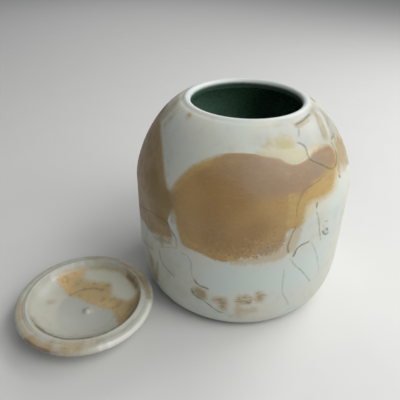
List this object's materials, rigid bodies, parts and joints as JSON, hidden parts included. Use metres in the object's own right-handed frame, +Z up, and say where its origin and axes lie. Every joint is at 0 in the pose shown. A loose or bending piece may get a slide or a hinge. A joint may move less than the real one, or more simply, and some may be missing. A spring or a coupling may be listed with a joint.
{
  "type": "lidded pottery jar",
  "caption": "Squat wheel-thrown glazed jar with a round-lipped mouth, a dark glassy liner and a loose dished lid set down beside it, for keeping dry food.",
  "frame": {"origin": "centre of the jar's flat foot, on the surface it stands on", "axes": "+Z up the jar's axis, +X level and away from the lid along the longest extent, +Y level and away from the viewer of the picture"},
  "size_m": [0.2477, 0.1933, 0.154],
  "materials": {
    "celadon_glaze": "satin crackle glaze with poured tan patches",
    "liner_glaze": "glossy dark bottle green",
    "lid_glaze": "satin grey-green glaze with tan patches"
  },
  "bodies": {
    "jar": {"jar_body": "celadon_glaze", "liner_glaze": "liner_glaze"},
    "lid": {"lid": "lid_glaze"}
  },
  "joints": [
    {"name": "lid_lift", "type": "slide", "parent": "jar", "child": "lid", "axis": [0, 0, 1], "range_m": [0, 0.18]}
  ]
}
